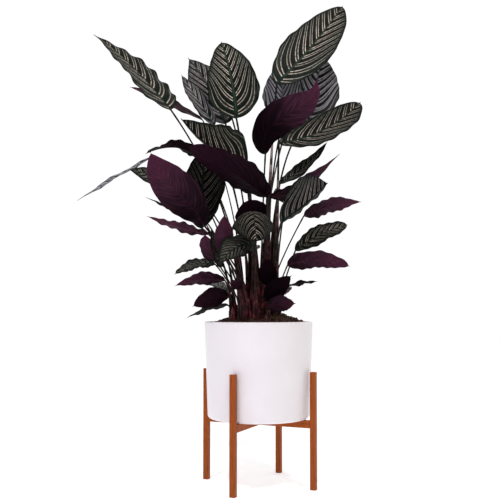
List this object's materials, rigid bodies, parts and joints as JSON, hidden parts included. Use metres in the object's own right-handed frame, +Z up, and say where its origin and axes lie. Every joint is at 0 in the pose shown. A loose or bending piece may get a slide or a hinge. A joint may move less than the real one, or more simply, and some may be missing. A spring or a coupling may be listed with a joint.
{
  "type": "potted pinstripe calathea",
  "caption": "Potted prayer plant with dark pinstriped, purple-backed leaves on long stalks, in a white cylinder pot that rests on the crossed bars of a wooden plant stand.",
  "frame": {"origin": "middle of the whole object's outer box, on the floor under the stand's feet", "axes": "+Z up along the plant's height, +X to the right and -Y towards the front from which the plant is seen"},
  "size_m": [0.8222, 0.546, 1.3867],
  "materials": {
    "stand_wood": "oiled red-brown hardwood",
    "pot_glaze": "satin white",
    "potting_soil": "damp bark and peat mix",
    "leaf_striped": "satin dark green with thin cream stripes",
    "leaf_purple": "matte red-purple underside"
  },
  "bodies": {
    "root": {"stand_leg_right": "stand_wood", "stand_leg_back": "stand_wood", "stand_leg_left": "stand_wood", "stand_leg_front": "stand_wood", "stand_bar_across": "stand_wood", "stand_bar_front_back": "stand_wood", "pot": "pot_glaze", "soil": "potting_soil", "leaf_01": "leaf_striped", "leaf_02": "leaf_purple", "leaf_03": "leaf_striped", "leaf_04": "leaf_striped", "leaf_05": "leaf_striped", "leaf_06": "leaf_striped", "leaf_07": "leaf_purple", "leaf_08": "leaf_striped", "leaf_09": "leaf_striped", "leaf_10": "leaf_striped", "leaf_11": "leaf_purple", "leaf_12": "leaf_striped", "leaf_13": "leaf_striped", "leaf_14": "leaf_purple", "leaf_15": "leaf_purple", "leaf_16": "leaf_striped", "leaf_17": "leaf_purple", "leaf_18": "leaf_striped", "leaf_19": "leaf_striped", "leaf_20": "leaf_striped", "leaf_21": "leaf_striped", "leaf_22": "leaf_purple", "leaf_23": "leaf_purple", "leaf_24": "leaf_striped", "leaf_25": "leaf_striped", "leaf_26": "leaf_striped", "leaf_27": "leaf_purple", "leaf_28": "leaf_striped", "leaf_29": "leaf_striped", "leaf_30": "leaf_purple", "leaf_31": "leaf_striped", "leaf_32": "leaf_purple", "leaf_33": "leaf_striped", "leaf_34": "leaf_purple", "leaf_35": "leaf_striped", "leaf_36": "leaf_purple", "leaf_37": "leaf_purple", "leaf_38": "leaf_purple", "leaf_39": "leaf_striped", "leaf_40": "leaf_purple", "leaf_41": "leaf_striped", "leaf_42": "leaf_striped", "leaf_43": "leaf_striped", "leaf_44": "leaf_striped", "leaf_45": "leaf_striped", "leaf_46": "leaf_striped", "leaf_47": "leaf_striped", "leaf_48": "leaf_striped"}
  },
  "joints": []
}
